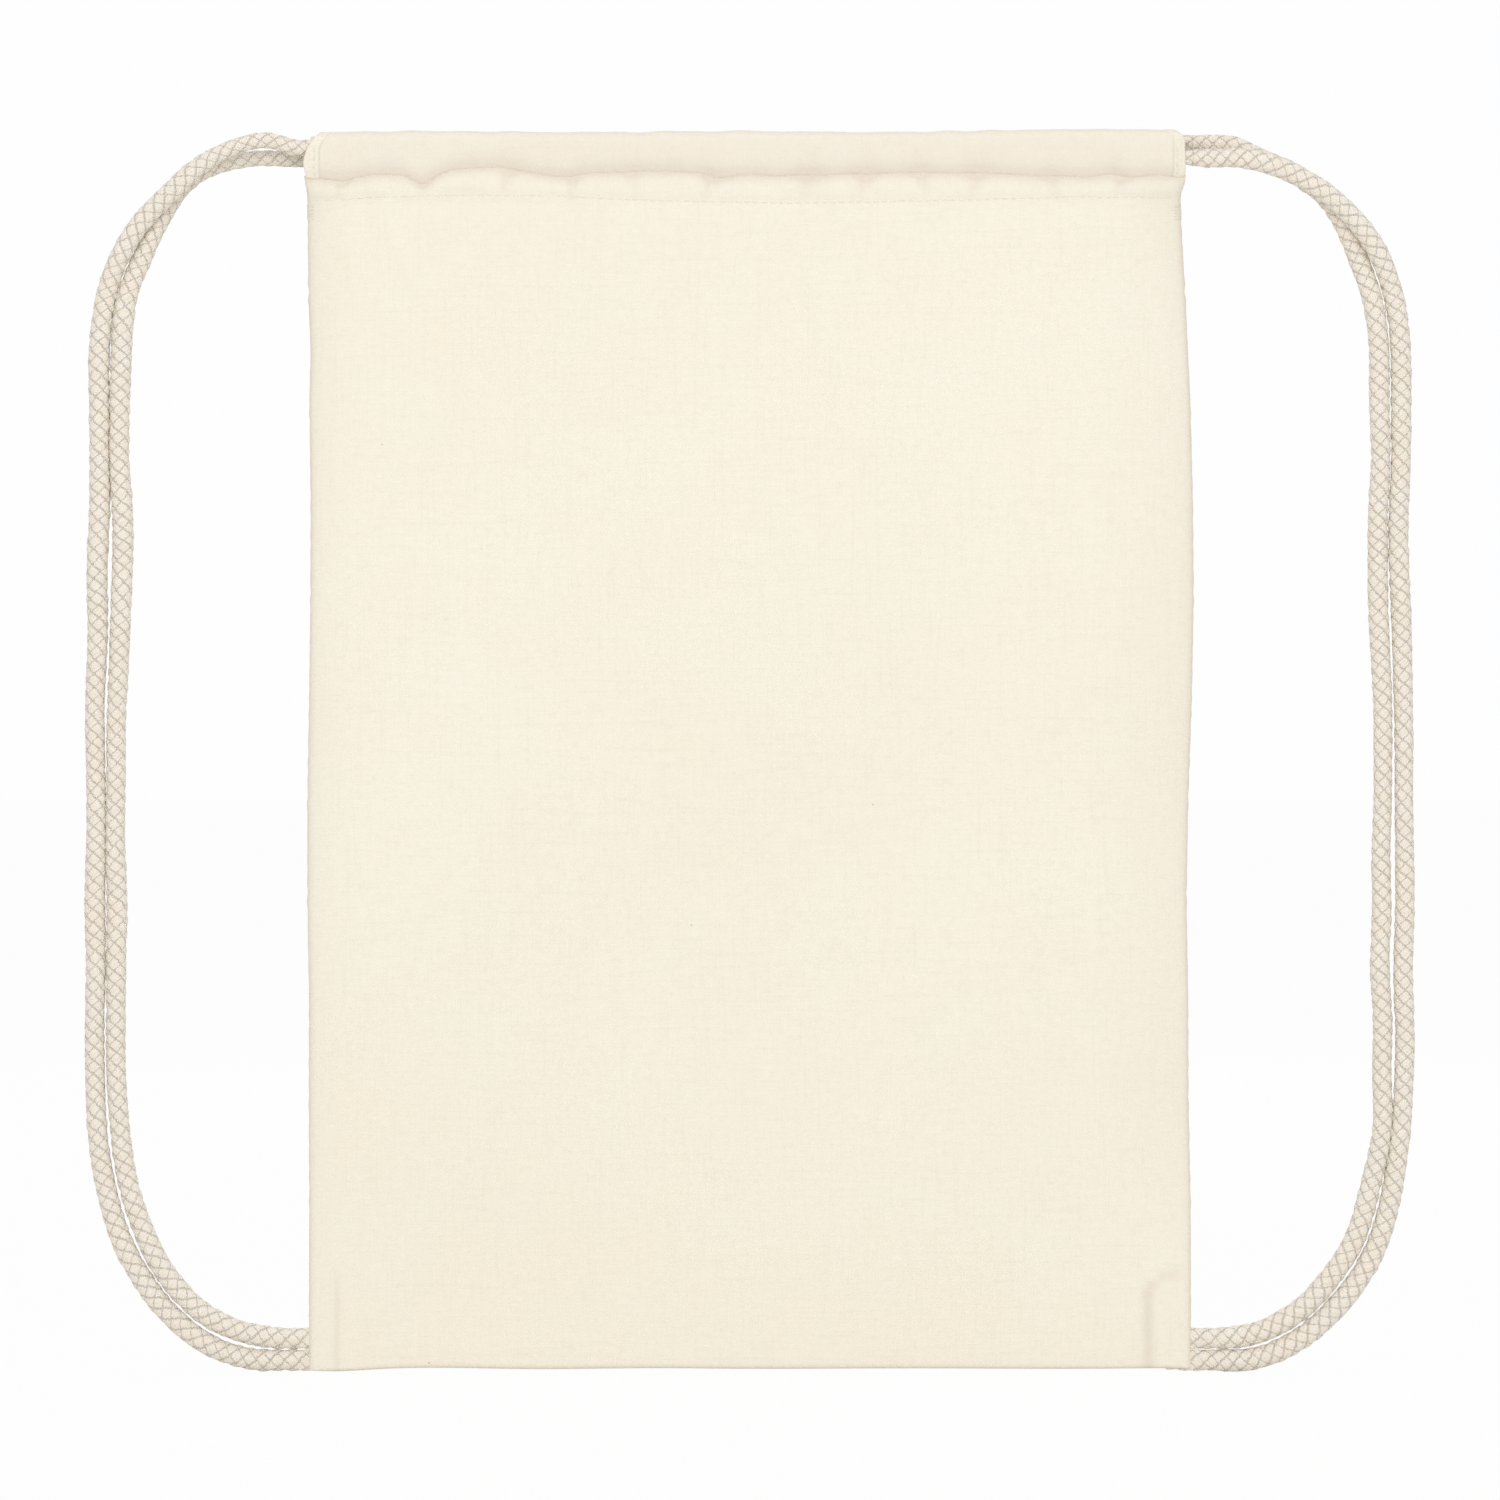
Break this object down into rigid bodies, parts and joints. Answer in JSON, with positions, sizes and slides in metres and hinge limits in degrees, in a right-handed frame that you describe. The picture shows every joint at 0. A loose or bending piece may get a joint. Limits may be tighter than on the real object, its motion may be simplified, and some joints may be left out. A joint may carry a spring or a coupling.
{
  "type": "drawstring backpack",
  "caption": "Flat drawstring backpack of natural cotton canvas with a cord sleeve along the top and two braided cotton cords whose ends are sewn into the bottom corners.",
  "frame": {"origin": "middle of the bottom fold: halfway across the bag's width and depth, at the height of its lowest point", "axes": "+Z from the bottom fold up to the mouth, +X across the bag towards its right seam seen from the front, the front faces -Y and the face that lies on the back faces +Y"},
  "size_m": [0.4819, 0.018, 0.4494],
  "materials": {
    "canvas": "matte",
    "cord": "matte",
    "thread": "matte"
  },
  "bodies": {
    "bag": {"bag_cloth": "canvas", "front_casing": "canvas", "front_casing_stitching": "thread", "back_casing": "canvas", "back_casing_stitching": "thread", "left_side_seam_thread": "thread", "left_overlock_thread": "thread", "left_mouth_bartack": "thread", "left_corner_bartack": "thread", "left_cord_runs": "cord", "left_cord_top_bends": "cord", "left_cord_bottom_bends": "cord", "left_cord_sewn_ends": "cord", "right_side_seam_thread": "thread", "right_overlock_thread": "thread", "right_mouth_bartack": "thread", "right_corner_bartack": "thread", "right_cord_runs": "cord", "right_cord_top_bends": "cord", "right_cord_bottom_bends": "cord", "right_cord_sewn_ends": "cord"},
    "left_casing_end": {"front_left_end_hem": "canvas", "back_left_end_hem": "canvas", "left_end_hem_stitching": "thread", "right_cord_turn": "cord"},
    "right_casing_end": {"front_right_end_hem": "canvas", "back_right_end_hem": "canvas", "left_cord_turn": "cord", "right_end_hem_stitching": "thread"},
    "left_strap": {"left_cord_outer_strand": "cord", "left_cord_inner_strand": "cord"},
    "right_strap": {"right_cord_outer_strand": "cord", "right_cord_inner_strand": "cord"}
  },
  "joints": [
    {"name": "cinch", "type": "slide", "parent": "bag", "child": "left_casing_end", "axis": [1, 0, 0], "range_m": [0, 0.105], "deforming": ["front_casing", "back_casing", "front_casing_stitching", "back_casing_stitching", "left_cord_runs", "right_cord_runs"]},
    {"name": "cinch_far_end", "type": "slide", "parent": "left_casing_end", "child": "right_casing_end", "axis": [-1, 0, 0], "range_m": [0, 0.21], "deforming": ["front_casing", "back_casing", "front_casing_stitching", "back_casing_stitching", "left_cord_runs", "right_cord_runs"]},
    {"name": "left_strap_swing", "type": "hinge", "parent": "bag", "child": "left_strap", "pos_m": [-0.1688, 0, 0.225], "axis": [0, 0, 1], "range_deg": [-90, 90], "deforming": ["left_cord_top_bends", "left_cord_bottom_bends"]},
    {"name": "right_strap_swing", "type": "hinge", "parent": "bag", "child": "right_strap", "pos_m": [0.1688, 0, 0.225], "axis": [0, 0, 1], "range_deg": [-90, 90], "deforming": ["right_cord_top_bends", "right_cord_bottom_bends"]}
  ],
  "couplings": [
    {"joint": "cinch_far_end", "follows": "cinch", "ratio": 2}
  ]
}
